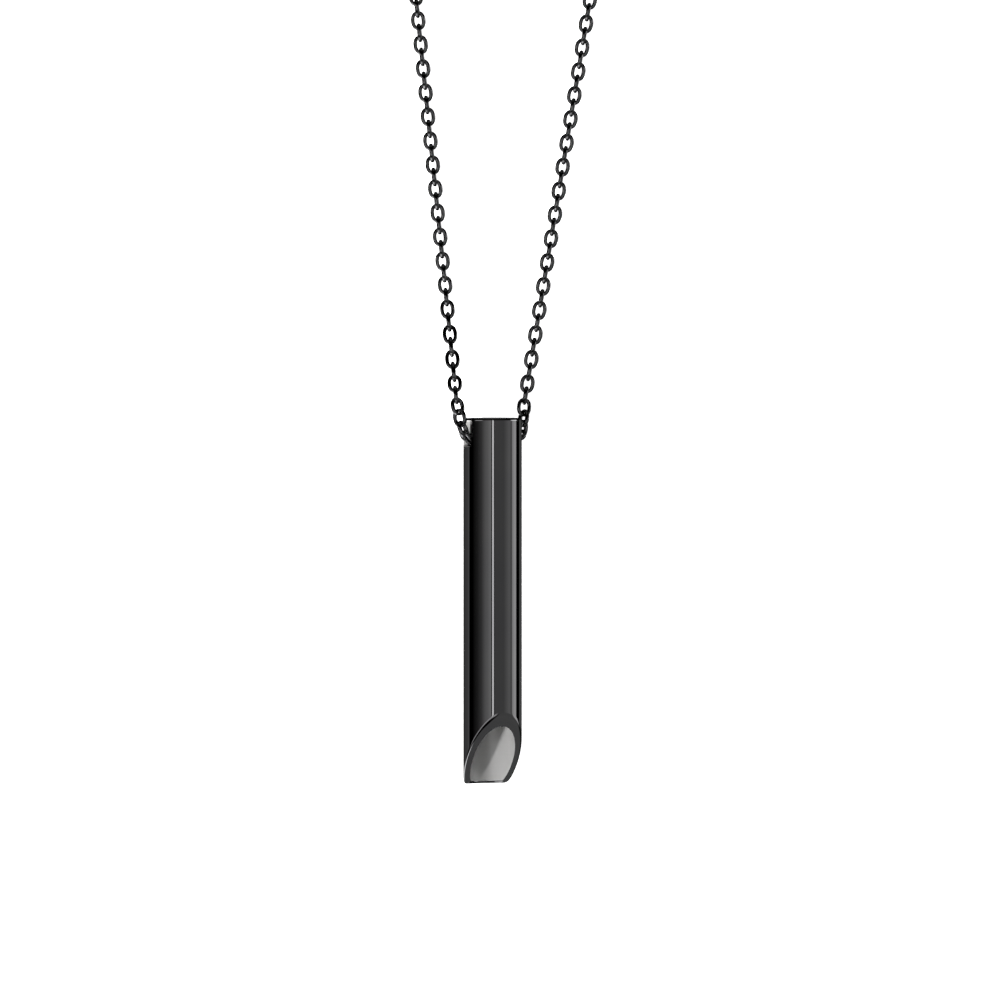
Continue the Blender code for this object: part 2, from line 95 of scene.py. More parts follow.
# Chain links as they are drawn: another oval, heavier wire and a slightly longer pitch than the solids have
LINK_STEPS = 26
OVAL_POWER = 2.3                    # 2 is an ellipse; more is squarer
WIRE_SIDES = 10
WIRE_SHOWN = (0.24 * MM, 0.275 * MM)    # half the wire's width at a link's ends and at its sides
WIRE_HEIGHT = (0.27 * MM, 0.34 * MM)    # and half its height
SHOWN_WIDTH = 2.03 * MM
STRAND_PITCH = {"left": 1.656 * MM, "right": 1.656 * MM}
LEAD_LINKS = 6                      # each strand's first links are stretched to set its phase
LEAD_STRETCH = {"left": 1.045, "right": 1.028}
PITCH_EASE = 0.03                   # a strand's pitch may be eased by this share to fit its path
BISECTIONS = 30
PITCH_BISECTIONS = 40
FACE_UP, EDGE_UP = 0.0, 90.0        # degrees a link is turned about its own length

# The chain's route, in mm, from the coil down to the left window, through the tube, and back to the coil
LEFT_ROUTE = (
    (-11.20, 89.4, 3.15), (-10.75, 85.2, 2.20), (-10.33, 81.0, 1.22), (-9.93, 77.0, 1.02),
    (-9.42, 72.0, 1.02), (-8.41, 62.0, 1.02), (-7.40, 52.0, 1.02), (-6.58, 44.0, 1.10),
    (-6.08, 39.0, 1.75), (-5.62, 34.5, 3.10), (-5.22, 30.5, 4.75), (-4.93, 27.6, 5.75),
    (-4.62, 25.86, 6.15), (-4.35, 24.24, 6.32), (-3.75, 22.71, 6.38),
)
THROUGH_ROUTE = (
    (-3.27, 21.96, 5.12), (-1.90, 21.90, 4.20), (-0.40, 21.90, 3.45), (1.15, 22.00, 2.85),
    (2.65, 22.35, 2.40),
)
RIGHT_ROUTE = (
    (4.36, 23.10, 2.10), (4.40, 24.75, 2.00), (4.25, 26.20, 1.15), (4.62, 28.8, 1.02), (5.46, 34.0, 1.02),
    (7.09, 44.0, 1.02), (8.72, 54.0, 1.02), (10.35, 64.0, 1.02), (11.98, 74.0, 1.02), (13.28, 82.0, 1.02),
    (14.26, 88.0, 1.02),
)
ROUTE_STEPS = 24
THROUGH_LINKS = 8
THROUGH_LEFT_LINKS = 2
SIDE_LINKS = 4
ROLLS = {
    "left": (-30.0, 30.0, 90.0, 0.0),
    "right": (-50.0, 15.0, 90.0, 0.0),
    "through": (-60.0, 55.0, -15.0, 70.0, -30.0, 60.0, -40.0, 55.0),
}

# The coil that the chain is stored in: each strand winds inwards in its own layer
COIL_CENTRE = Vector((2.0, 99.0, 0.0))      # mm
TURN_SPACING = 2.15                         # mm
TURN_POINTS = 24
LEFT_COIL = {"radius": 14.09, "angle": 185.8, "turns": 2.85, "way": -1, "height": 3.15}
RIGHT_COIL = {"radius": 13.87, "angle": -9.3, "turns": 3.2366, "way": 1, "height": 1.02}
LEFT_TAIL_END = (11.19, 102.54, 5.50)       # mm, in the jump ring
LEFT_TAIL_RISE = 0.45                       # share of the tail over which it climbs onto the coil
LEFT_TAIL_STAY = 0.35                       # share of the tail before it moves outwards
LEFT_TAIL_ROLL = -45.0
RIGHT_TAIL_RADIUS = 4.3                     # mm
RIGHT_TAIL_TURN = 142.8                     # degrees

# View
CAMERA_PLACE = Vector((0.001023, 0.013813, 0.76193))
LENS = 200.0
SENSOR = 36.0
CLIP = (0.01, 20.0)


def collection(name):
    group = bpy.data.collections.new(name)
    bpy.context.scene.collection.children.link(group)
    return group


PIECES = collection("pieces")
STUDIO = collection("studio")


def add(name, data, group=PIECES):
    item = bpy.data.objects.new(name, data)
    group.objects.link(item)
    return item


# ---------------------------------------------------------------- camera

def make_camera():
    data = bpy.data.cameras.new("camera")
    data.lens = LENS
    data.sensor_width = SENSOR
    data.clip_start, data.clip_end = CLIP
    camera = add("camera", data, STUDIO)
    camera.location = CAMERA_PLACE
    bpy.context.scene.camera = camera


make_camera()


# ---------------------------------------------------------------- chain: routes

def smooth(t):
    t = max(0.0, min(1.0, t))
    return t * t * (3.0 - 2.0 * t)


def smooth_route(points):
    """A Catmull-Rom curve through the route's points, as closely spaced points."""
    places = [Vector(point) * MM for point in points]
    places = [2 * places[0] - places[1]] + places + [2 * places[-1] - places[-2]]
    curve = []
    for i in range(1, len(places) - 2):
        before, start, end, after = places[i - 1:i + 3]
        for step in range(ROUTE_STEPS):
            t = step / ROUTE_STEPS
            curve.append(0.5 * (2 * start + (end - before) * t
                                + (2 * before - 5 * start + 4 * end - after) * t ** 2
                                + (3 * start - before - 3 * end + after) * t ** 3))
    curve.append(places[-2])
    return curve


def bend_slack(before, after):
    """How far a link slides back into the one before it where the chain bends."""
    return BEND_SLACK * (1.0 - before.dot(after)) * (before + after).normalized()


def reach(start, end, flat):
    """The distance between two points, or their distance seen from above."""
    return math.hypot(end.x - start.x, end.y - start.y) if flat else (end - start).length


def walk(route, count, pitch=LINK_PITCH, flat=False, stretch=1.0):
    """The two ends of each link along a route, one pitch apart, straight or as seen from above."""
    links = []
    start = route[0]
    index = 0
    while len(links) < count and index < len(route) - 1:
        step = pitch * stretch if len(links) < LEAD_LINKS else pitch
        if reach(start, route[index + 1], flat) < step:
            index += 1
            continue
        low, high = 0.0, 1.0
        for _ in range(BISECTIONS):
            middle = (low + high) / 2
            if reach(start, route[index].lerp(route[index + 1], middle), flat) < step:
                low = middle
            else:
                high = middle
        end = route[index].lerp(route[index + 1], high)
        if links:
            before = (links[-1][1] - links[-1][0]).normalized()
            shift = bend_slack(before, (end - start).normalized())
            start, end = start - shift, end - shift
        links.append((start, end))
        start = end
    return links


def coil_point(angle, radius, height):
    return (COIL_CENTRE.x + radius * math.cos(angle), COIL_CENTRE.y + radius * math.sin(angle), height)


def coil_route(coil):
    """One strand's turns, each a turn's spacing inside the one before it."""
    count = round(coil["turns"] * TURN_POINTS)
    points = []
    for i in range(count + 1):
        turns = coil["turns"] * i / count
        angle = math.radians(coil["angle"]) + coil["way"] * 2 * math.pi * turns
        points.append(coil_point(angle, coil["radius"] - TURN_SPACING * turns, coil["height"]))
    return points


def left_tail(coil):
    """From the inside of the upper layer the strand climbs on top and runs out to the clasp's ring."""
    end = Vector(LEFT_TAIL_END) - COIL_CENTRE
    start_angle = math.radians(coil["angle"]) + coil["way"] * 2 * math.pi * coil["turns"]
    sweep = (start_angle - math.atan2(end.y, end.x)) % (2 * math.pi)
    start_radius = coil["radius"] - TURN_SPACING * coil["turns"]
    end_radius = math.hypot(end.x, end.y)
    count = round(sweep / (2 * math.pi) * TURN_POINTS)
    points = []
    for i in range(1, count + 1):
        share = i / count
        outward = smooth((share - LEFT_TAIL_STAY) / (1.0 - LEFT_TAIL_STAY))
        radius = start_radius + (end_radius - start_radius) * outward
        height = coil["height"] + (end.z - coil["height"]) * smooth(share / LEFT_TAIL_RISE)
        points.append(coil_point(start_angle - sweep * share, radius, height))
    return points


def right_tail(points):
    """A last half turn, tighter than the coil, from its inside to the end ring in its middle."""
    last, before = Vector(points[-1]), Vector(points[-2])
    heading = math.atan2(last.y - before.y, last.x - before.x) + math.pi / TURN_POINTS
    centre = last + RIGHT_TAIL_RADIUS * Vector((-math.sin(heading), math.cos(heading), 0.0))
    count = round(RIGHT_TAIL_TURN / 360 * TURN_POINTS)
    tail = []
    for i in range(1, count + 1):
        turned = heading + math.radians(RIGHT_TAIL_TURN) * i / count
        place = centre + RIGHT_TAIL_RADIUS * Vector((math.sin(turned), -math.cos(turned), 0.0))
        tail.append(tuple(place))
    return tail


def strand_routes():
    left_turns = coil_route(LEFT_COIL)
    left = list(reversed(LEFT_ROUTE)) + left_turns + left_tail(LEFT_COIL)
    right_turns = coil_route(RIGHT_COIL)
    right = list(RIGHT_ROUTE) + right_turns + right_tail(right_turns)
    return left, right


# ---------------------------------------------------------------- chain: links

def link_outline():
    """The middle line of a link's wire, an oval a little squarer than an ellipse."""
    half_width = SHOWN_WIDTH / 2 - WIRE_SHOWN[1]
    half_length = LINK_PITCH / 2 + WIRE_RADIUS + LINK_PLAY
    points = []
    for i in range(LINK_STEPS):
        angle = 2 * math.pi * i / LINK_STEPS
        across, along = math.cos(angle), math.sin(angle)
        size = (abs(across) ** OVAL_POWER + abs(along) ** OVAL_POWER) ** (-1 / OVAL_POWER)
        points.append(Vector((half_width * across * size, half_length * along * size, 0.0)))
    return points


def swept_ring(points, widths, heights, sides):
    """Vertices and faces of wire swept along a closed flat outline in the XY plane.

    The wire's half width and half height are given where it runs along X and where it runs along Y.
    """
    vertices, faces = [], []
    count = len(points)
    for i, point in enumerate(points):
        along = (points[(i + 1) % count] - points[i - 1]).normalized()
        outward = Vector((along.y, -along.x, 0.0))
        width = widths[0] + (widths[1] - widths[0]) * along.y ** 2
        height = heights[0] + (heights[1] - heights[0]) * along.y ** 2
        for j in range(sides):
            angle = 2 * math.pi * j / sides
            rise = Vector((0.0, 0.0, height * math.sin(angle)))
            vertices.append(point + width * math.cos(angle) * outward + rise)
    for i in range(count):
        for j in range(sides):
            a, b = i * sides + j, i * sides + (j + 1) % sides
            c, d = (i + 1) % count * sides + (j + 1) % sides, (i + 1) % count * sides + j
            faces.append((a, b, c, d))
    return vertices, faces


LINK_VERTICES, LINK_FACES = swept_ring(link_outline(), WIRE_SHOWN, WIRE_HEIGHT, WIRE_SIDES)


def face_normal(direction, roll_degrees):
    """The way a link's flat side faces: up, turned about its own length."""
    up = Vector((0.0, 0.0, 1.0))
    flat = (up - up.dot(direction) * direction).normalized()
    return Matrix.Rotation(math.radians(roll_degrees), 3, direction) @ flat


def link_matrix(start, end, roll_degrees):
    """A link between its two ends, eased in length where they are further apart than its pitch."""
    direction = (end - start).normalized()
    normal = face_normal(direction, roll_degrees)
    turn = Matrix((direction.cross(normal), direction, normal)).transposed()
    ease = Matrix.Diagonal((1.0, (end - start).length / LINK_PITCH, 1.0, 1.0))
    return Matrix.Translation((start + end) / 2) @ turn.to_4x4() @ ease


def links_mesh(name, matrices, material):
    """One mesh of many links."""
    vertices, faces = [], []
    for matrix in matrices:
        first = len(vertices)
        vertices.extend(matrix @ vertex for vertex in LINK_VERTICES)
        faces.extend(tuple(first + corner for corner in face) for face in LINK_FACES)
    mesh = bpy.data.meshes.new(name)
    mesh.from_pydata(vertices, [], faces)
    mesh.shade_smooth()
    mesh.materials.append(material)
    return mesh


def walked_groups():
    """The separate links near the tube, by group, walking outwards from the left window."""
    left_path = smooth_route(LEFT_ROUTE + THROUGH_ROUTE[:1])
    left_path.reverse()
    left = walk(left_path, THROUGH_LEFT_LINKS + SIDE_LINKS)
    right_count = THROUGH_LINKS - THROUGH_LEFT_LINKS
    right = walk(smooth_route(THROUGH_ROUTE + RIGHT_ROUTE), right_count + SIDE_LINKS)
    turned_round = [(start, end) for end, start in reversed(left[:THROUGH_LEFT_LINKS])]
    return {
        "through": turned_round + right[:right_count],
        "left": left[THROUGH_LEFT_LINKS:],
        "right": right[right_count:],
    }


def make_near_links(groups, material):
    for side, links in groups.items():
        body = "pendant" if side == "through" else "chain"
        for i, (start, end) in enumerate(links):
            node = f"{side}_link_{i + 1}"
            matrix = link_matrix(start, end, ROLLS[side][i])
            link = add(node + "_fine", links_mesh(node + "_fine", [matrix], material))
            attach(link, body)
            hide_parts(node)


def path_from(route, start):
    """The part of a dense route that lies beyond a point on it, starting at that point."""
    nearest = min(range(len(route)), key=lambda i: (route[i] - start).length)
    return [start.copy()] + route[nearest + 1:]


def fitted_walk(path, pitch, stretch):
    """Links that end where the path ends: the pitch is eased a little to make a whole number of them fit."""
    count = round(sum(reach(a, b, True) for a, b in zip(path, path[1:])) / pitch)
    low, high = (1 - PITCH_EASE) * pitch, (1 + PITCH_EASE) * pitch
    for _ in range(PITCH_BISECTIONS):
        middle = (low + high) / 2
        if len(walk(path, count, middle, True, stretch)) == count:
            low = middle
        else:
            high = middle
    return walk(path, count, low, True, stretch)


def make_strand(side, path, last_roll, material):
    """A strand's links beyond the separate ones, edge up and face up by turns, to its last link."""
    links = fitted_walk(path, STRAND_PITCH[side], LEAD_STRETCH[side])
    matrices = []
    for i, (start, end) in enumerate(links):
        roll = last_roll if i == len(links) - 1 else (EDGE_UP, FACE_UP)[i % 2]
        matrices.append(link_matrix(start, end, roll))
    name = f"chain_{side}_fine"
    return add(name, links_mesh(name, matrices, material))


# ---------------------------------------------------------------- materials

def new_material(name, colour, roughness, metallic):
    """A material with its plain values on the shader's own sockets."""
    material = bpy.data.materials.new(name)
    material.use_nodes = True
    shader = material.node_tree.nodes["Principled BSDF"]
    shader.inputs["Base Color"].default_value = (*colour, 1.0)
    shader.inputs["Metallic"].default_value = metallic
    shader.inputs["Roughness"].default_value = roughness
    return material, material.node_tree, shader


def coordinates(tree, scale):
    """Object coordinates, in metres, stretched."""
    place = tree.nodes.new("ShaderNodeTexCoord")
    mapping = tree.nodes.new("ShaderNodeMapping")
    mapping.inputs["Scale"].default_value = scale
    tree.links.new(place.outputs["Object"], mapping.inputs["Vector"])
    return mapping.outputs["Vector"]


def noise(tree, scale, detail, stretch):
    texture = tree.nodes.new("ShaderNodeTexNoise")
    texture.inputs["Scale"].default_value = scale
    texture.inputs["Detail"].default_value = detail
    tree.links.new(coordinates(tree, stretch), texture.inputs["Vector"])
    return texture.outputs["Fac"]


def ramp(tree, value, stops):
    """A colour ramp with grey or coloured stops at the given places."""
    node = tree.nodes.new("ShaderNodeValToRGB")
    elements = node.color_ramp.elements
    while len(elements) < len(stops):
        elements.new(0.5)
    for element, (position, colour) in zip(elements, stops):
        element.position = position
        element.color = (*colour, 1.0) if isinstance(colour, tuple) else (colour, colour, colour, 1.0)
    tree.links.new(value, node.inputs["Fac"])
    return node.outputs["Color"]


def add_bump(tree, shader, height, strength, distance):
    bump = tree.nodes.new("ShaderNodeBump")
    bump.inputs["Strength"].default_value = strength
    bump.inputs["Distance"].default_value = distance
    tree.links.new(height, bump.inputs["Height"])
    tree.links.new(bump.outputs["Normal"], shader.inputs["Normal"])


# Each steel: its plain colour and roughness, how metallic it is, the noise (scale, detail, stretch) that
# varies its colour, the noise that varies its roughness where that is another one, and the stops of both
EVEN = (1.0, 1.0, 1.0)
STEELS = {
    # mirror-polished black coating with the faintest lengthwise polishing marks
    "polished_black_steel": {
        "colour": (0.1, 0.1, 0.102), "roughness": 0.05, "metallic": 1.0,
        "tint": (160.0, 2.0, EVEN), "marks": (2500.0, 3.0, (1.0, 0.04, 1.0)),
        "tints": ((0.3, (0.097, 0.097, 0.100)), (0.7, (0.104, 0.104, 0.105))),
        "polish": ((0.35, 0.035), (0.75, 0.075)),
    },
    # uncoated steel inside the bore, dull, with fine turning lines round it
    "bare_bore_steel": {
        "colour": (0.23, 0.228, 0.225), "roughness": 0.42, "metallic": 0.2,
        "tint": (900.0, 4.0, (0.02, 9.0, 0.02)),
        "tints": ((0.25, (0.22, 0.218, 0.215)), (0.75, (0.24, 0.238, 0.235))),
        "polish": ((0.3, 0.38), (0.7, 0.46)),
    },
    # the windows' cut walls: pale satin steel with the cutter's fine marks
    "milled_window_steel": {
        "colour": (0.92, 0.91, 0.90), "roughness": 0.4, "metallic": 0.35,
        "tint": (1500.0, 4.0, (1.0, 6.0, 1.0)),
        "tints": ((0.3, (0.84, 0.83, 0.82)), (0.7, (0.98, 0.97, 0.96))),
        "polish": ((0.3, 0.34), (0.7, 0.5)),
    },
    # black coated chain, a little softer in its shine, worn lighter in small patches
    "black_chain_steel": {
        "colour": (0.07, 0.07, 0.072), "roughness": 0.1, "metallic": 1.0,
        "tint": (700.0, 4.0, EVEN),
        "tints": ((0.35, (0.05, 0.05, 0.052)), (0.62, (0.075, 0.075, 0.077)), (0.8, (0.16, 0.156, 0.152))),
        "polish": ((0.3, 0.07), (0.75, 0.16)),
    },
    # drawn spring wire, bright, with faint marks
    "spring_wire_steel": {
        "colour": (0.55, 0.54, 0.52), "roughness": 0.22, "metallic": 1.0,
        "tint": (5000.0, 3.0, EVEN),
        "tints": ((0.3, (0.50, 0.49, 0.47)), (0.7, (0.60, 0.59, 0.57))),
        "polish": ((0.3, 0.16), (0.7, 0.30)),
    },
}
CHAIN_GRAIN = (6000.0, 3.0, EVEN)    # noise of the chain's bump
CHAIN_GRAIN_STRENGTH = 0.12
CHAIN_GRAIN_DEPTH = 0.006 * MM


def make_steel(name):
    steel = STEELS[name]
    material, tree, shader = new_material(name, steel["colour"], steel["roughness"], steel["metallic"])
    tint = noise(tree, *steel["tint"])
    marks = noise(tree, *steel["marks"]) if "marks" in steel else tint
    tree.links.new(ramp(tree, tint, steel["tints"]), shader.inputs["Base Color"])
    tree.links.new(ramp(tree, marks, steel["polish"]), shader.inputs["Roughness"])
    return material


def chain_steel():
    """The chain's steel, with a fine grain."""
    material = make_steel("black_chain_steel")
    tree = material.node_tree
    grain = noise(tree, *CHAIN_GRAIN)
    add_bump(tree, tree.nodes["Principled BSDF"], grain, CHAIN_GRAIN_STRENGTH, CHAIN_GRAIN_DEPTH)
    return material


BLACK = make_steel("polished_black_steel")
BARE = make_steel("bare_bore_steel")
MILLED = make_steel("milled_window_steel")
CHAIN = chain_steel()
SPRING = make_steel("spring_wire_steel")


# ---------------------------------------------------------------- chain: pieces

CLASP_PIECES = [
    "clasp_jump_ring_fine", "clasp_body_fine", "clasp_lever_fine", "clasp_pin_fine", "clasp_spring_fine",
]


def make_chain():
    groups = walked_groups()
    make_near_links(groups, CHAIN)
    left_route, right_route = strand_routes()
    strands = (
        ("left", smooth_route(left_route), LEFT_TAIL_ROLL, "connector", CLASP_PIECES),
        ("right", smooth_route(right_route), EDGE_UP, "fitting", ["end_ring_fine"]),
    )
    for side, route, last_roll, far_end, others in strands:
        start = groups[side][-1][1]
        path = path_from(route, start)
        strand = make_strand(side, path, last_roll, CHAIN)
        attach(strand, "chain")
        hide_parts(f"chain_{side}", f"coil_{side}")


# ---------------------------------------------------------------- rings and clasp

# The same as the solids but for the edges' rounding and the number of steps, in mm in the clasp's own
# frame, its eye at the origin and its tip along X
CLASP_LAY = math.radians(-82.0)
CLASP_EYE = Vector((11.62, 99.5, 5.60))
CLASP_THICKNESS = 2.0
CLASP_EYE_RADIUS = 1.5
CLASP_EYE_HOLE = 1.0
CLASP_EYE_THICKNESS = 0.9
CLASP_EYE_LENGTH = 1.35
CLASP_HOOK_CENTRE = (6.3, 0.0)
CLASP_HOOK_OUTER = (3.3, 2.8)
CLASP_HOOK_INNER = (1.95, 1.55)
CLASP_PIVOT = (3.3, -0.55)
CLASP_GATE = ((5.2, -1.0), (6.0, -0.6), (8.2, -0.6), (8.2, -4.0), (3.9, -4.0))
CLASP_SLOT = (
    (1.55, 4.5), (1.55, 0.35), (2.3, -1.3), (3.0, -4.5), (6.2, -4.5), (5.5, -1.2), (4.6, -0.5), (4.35, 4.5),
)
CLASP_HOOK_ARC = (-150.0, 150.0, 72)    # degrees from, degrees to, steps
CLASP_EYE_ARC = (120.0, 240.0, 24)
CLASP_EDGE = 0.16                   # rounding of the plate's edges
LEVER_ARM = (-138.0, -58.0, -150.0)      # degrees round the hook: outside, tip, inside
LEVER_ARM_STEPS = 28
LEVER_ARM_OUTER_GAP = 0.35
LEVER_ARM_INNER_GAP = 0.10
LEVER_TAB = (
    (3.95, 0.75), (3.7, 2.2), (3.85, 3.35), (3.25, 3.65), (2.75, 3.3), (2.85, 1.5), (2.55, -0.4),
    (2.75, -1.1),
)
LEVER_THICKNESS = 0.80
LEVER_EDGE = 0.10
SLOT_THICKNESS = 1.0
PIN_RADIUS = 0.35
PIN_HEAD_EDGE = 0.06
PIN_FIT_GAP = 0.01
PIN_RUNNING_GAP = 0.05
SPRING_RADIUS = 0.32
SPRING_WIRE = 0.07
SPRING_TURNS = 4
SPRING_TURN_POINTS = 24
SPRING_START = (1.68, 1.15)
SPRING_LENGTH = 0.98
JUMP_RING_RADIUS = 1.60
JUMP_RING_WIRE = 0.25
JUMP_RING_IN_EYE = -0.35
JUMP_RING_TILT = math.radians(45.0)
END_RING_RADIUS = 2.0
END_RING_WIRE = 0.35
END_RING_CENTRE = Vector((0.6, 97.6, 0.614))
END_RING_HINGE = Vector((0.725, 0.689, 0.0))
END_RING_TILT = math.radians(7.0)
RING_STEPS = 64
RING_WIRE_SIDES = 16
MERGE = 0.0000002                   # m
HOLE_STEPS = {"eye": 40, "pin": 32, "lever": 32}
PIN_STEPS = 40
ROUNDING_STEPS = 3
ROUNDING_ANGLE = math.radians(40.0)
SHARP_ANGLE = 32.0                  # degrees
SPRING_SHARP_ANGLE = 60.0
CLASP_FRAME = Matrix.Scale(MM, 4) @ Matrix.Translation(CLASP_EYE) @ Matrix.Rotation(CLASP_LAY, 4, "Z")


def finish_piece(item, node, body):
    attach(item, body)
    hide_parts(node)


def ring_mesh(name, radius, wire, matrix):
    turns = [2 * math.pi * i / RING_STEPS for i in range(RING_STEPS)]
    circle = [Vector((radius * math.cos(turn), radius * math.sin(turn), 0.0)) for turn in turns]
    vertices, faces = swept_ring(circle, (wire, wire), (wire, wire), RING_WIRE_SIDES)
    mesh = bpy.data.meshes.new(name)
    mesh.from_pydata([matrix @ vertex for vertex in vertices], [], faces)
    mesh.shade_smooth()
    mesh.materials.append(CHAIN)
    return mesh


def make_rings():
    shift = Matrix.Translation((JUMP_RING_IN_EYE - JUMP_RING_RADIUS, 0.0, 0.0))
    matrix = CLASP_FRAME @ shift @ Matrix.Rotation(JUMP_RING_TILT, 4, "X")
    jump = add("clasp_jump_ring_fine", ring_mesh("jump", JUMP_RING_RADIUS, JUMP_RING_WIRE, matrix))
    finish_piece(jump, "clasp_jump_ring", "clasp")
    matrix = Matrix.Scale(MM, 4) @ Matrix.Translation(END_RING_CENTRE)
    matrix = matrix @ Matrix.Rotation(END_RING_TILT, 4, END_RING_HINGE)
    end = add("end_ring_fine", ring_mesh("end", END_RING_RADIUS, END_RING_WIRE, matrix))
    finish_piece(end, "end_ring", "end_ring")


def ellipse(centre, half_x, half_y, start=0.0, end=360.0, steps=64):
    closed = abs(end - start) >= 360.0
    count = steps if closed else steps + 1
    points = []
    for i in range(count):
        angle = math.radians(start + (end - start) * i / steps)
        points.append((centre[0] + half_x * math.cos(angle), centre[1] + half_y * math.sin(angle)))
    return points


def plate(outlines, thickness):
    """A flat plate, from one outer outline and its holes."""
    curve = bpy.data.curves.new("plate", "CURVE")
    curve.dimensions = "2D"
    curve.fill_mode = "BOTH"
    curve.extrude = thickness / 2
    for outline in outlines:
        spline = curve.splines.new("POLY")
        spline.points.add(len(outline) - 1)
        for point, (x, y) in zip(spline.points, outline):
            point.co = (x, y, 0.0, 1.0)
        spline.use_cyclic_u = True
    return mesh_of(curve)


def mesh_of(data, cutters=(), edge=0.0):
    """The finished mesh of a curve or of a mesh, with cutters taken out of it and its sharp edges rounded."""
    holder = bpy.data.objects.new("holder", data)
    bpy.context.scene.collection.objects.link(holder)
    tools = []
    for i, cutter in enumerate(cutters):
        tool = bpy.data.objects.new(f"cutter_{i}", cutter)
        bpy.context.scene.collection.objects.link(tool)
        step = holder.modifiers.new(f"cut_{i}", "BOOLEAN")
        step.operation = "DIFFERENCE"
        step.object = tool
        step.solver = "EXACT"
        tools.append(tool)
    if edge > 0.0:
        round_edges = holder.modifiers.new("round", "BEVEL")
        round_edges.width = edge
        round_edges.segments = ROUNDING_STEPS
        round_edges.limit_method = "ANGLE"
        round_edges.angle_limit = ROUNDING_ANGLE
    evaluated = holder.evaluated_get(bpy.context.evaluated_depsgraph_get())
    mesh = bpy.data.meshes.new_from_object(evaluated)
    for item in tools + [holder]:
        bpy.data.objects.remove(item, do_unlink=True)
    shape = bmesh.new()
    shape.from_mesh(mesh)
    bmesh.ops.remove_doubles(shape, verts=shape.verts, dist=MERGE)
    bmesh.ops.recalc_face_normals(shape, faces=shape.faces)
    shape.to_mesh(mesh)
    shape.free()
    return mesh


def shade(mesh, material, sharp_degrees=SHARP_ANGLE):
    mesh.shade_smooth()
    mesh.set_sharp_from_angle(angle=math.radians(sharp_degrees))
    mesh.materials.clear()
    mesh.materials.append(material)
    return mesh


def moved(mesh, matrix):
    mesh.transform(matrix)
    return mesh


def cylinder_mesh(radius, height, segments, edge=0.0):
    mesh = bpy.data.meshes.new("round")
    shape = bmesh.new()
    bmesh.ops.create_cone(shape, cap_ends=True, segments=segments, radius1=radius, radius2=radius,
                          depth=height)
    if edge > 0.0:
        rims = [item for item in shape.edges
                if abs(item.verts[0].co.z - item.verts[1].co.z) < height / 10]
        bmesh.ops.bevel(shape, geom=rims, offset=edge, segments=ROUNDING_STEPS, profile=0.5, affect="EDGES")
    shape.to_mesh(mesh)
    shape.free()
    return mesh


def box_mesh(size, place, edge=0.0, steps=1):
    """A box, with the edges that run along X rounded where an edge is given."""
    mesh = bpy.data.meshes.new("box")
    shape = bmesh.new()
    bmesh.ops.create_cube(shape, size=1.0, matrix=Matrix.Translation(place) @ Matrix.Diagonal((*size, 1.0)))
    if edge > 0.0:
        long_edges = [item for item in shape.edges
                      if abs(item.verts[0].co.x - item.verts[1].co.x) > size[0] / 2]
        bmesh.ops.bevel(shape, geom=long_edges, offset=edge, segments=steps, profile=0.5, affect="EDGES")
    shape.to_mesh(mesh)
    shape.free()
    return mesh


def make_clasp_body():
    hook = ellipse(CLASP_HOOK_CENTRE, *CLASP_HOOK_OUTER, *CLASP_HOOK_ARC)
    eye = ellipse((0.0, 0.0), CLASP_EYE_RADIUS, CLASP_EYE_RADIUS, *CLASP_EYE_ARC)
    hook_hole = ellipse(CLASP_HOOK_CENTRE, *CLASP_HOOK_INNER)
    eye_hole = ellipse((0.0, 0.0), CLASP_EYE_HOLE, CLASP_EYE_HOLE, steps=HOLE_STEPS["eye"])
    body = plate([hook + eye, hook_hole, eye_hole], CLASP_THICKNESS)
    step = (CLASP_THICKNESS - CLASP_EYE_THICKNESS) / 2
    thin_x = CLASP_EYE_LENGTH - 2 * CLASP_EYE_RADIUS
    thin_z = CLASP_EYE_THICKNESS / 2 + step
    thin_size = (4 * CLASP_EYE_RADIUS, 4 * CLASP_EYE_RADIUS, 2 * step)
    pin_hole = cylinder_mesh(PIN_RADIUS + PIN_FIT_GAP, 2 * CLASP_THICKNESS, HOLE_STEPS["pin"])
    cutters = [
        plate([CLASP_GATE], 2 * CLASP_THICKNESS),
        plate([CLASP_SLOT], SLOT_THICKNESS),
        moved(pin_hole, Matrix.Translation((*CLASP_PIVOT, 0.0))),
        box_mesh(thin_size, (thin_x, 0.0, thin_z)),
        box_mesh(thin_size, (thin_x, 0.0, -thin_z)),
    ]
    mesh = moved(shade(mesh_of(body, cutters, CLASP_EDGE), CHAIN), CLASP_FRAME)
    finish_piece(add("clasp_body_fine", mesh), "clasp_body", "clasp")


def make_clasp_lever():
    start, tip, root = LEVER_ARM
    outer = [radius - LEVER_ARM_OUTER_GAP for radius in CLASP_HOOK_OUTER]
    inner = [radius + LEVER_ARM_INNER_GAP for radius in CLASP_HOOK_INNER]
    arm = ellipse(CLASP_HOOK_CENTRE, *outer, start, tip, LEVER_ARM_STEPS)
    arm += ellipse(CLASP_HOOK_CENTRE, *inner, tip, root, LEVER_ARM_STEPS)
    hole_radius = PIN_RADIUS + PIN_RUNNING_GAP
    hole = ellipse(CLASP_PIVOT, hole_radius, hole_radius, steps=HOLE_STEPS["lever"])
    lever = plate([arm + list(LEVER_TAB), hole], LEVER_THICKNESS)
    mesh = moved(shade(mesh_of(lever, edge=LEVER_EDGE), CHAIN), CLASP_FRAME)
    finish_piece(add("clasp_lever_fine", mesh), "clasp_lever", "clasp_lever")


def make_clasp_pin():
    mesh = shade(cylinder_mesh(PIN_RADIUS, CLASP_THICKNESS, PIN_STEPS, PIN_HEAD_EDGE), CHAIN)
    mesh = moved(mesh, CLASP_FRAME @ Matrix.Translation((*CLASP_PIVOT, 0.0)))
    finish_piece(add("clasp_pin_fine", mesh), "clasp_pin", "clasp")


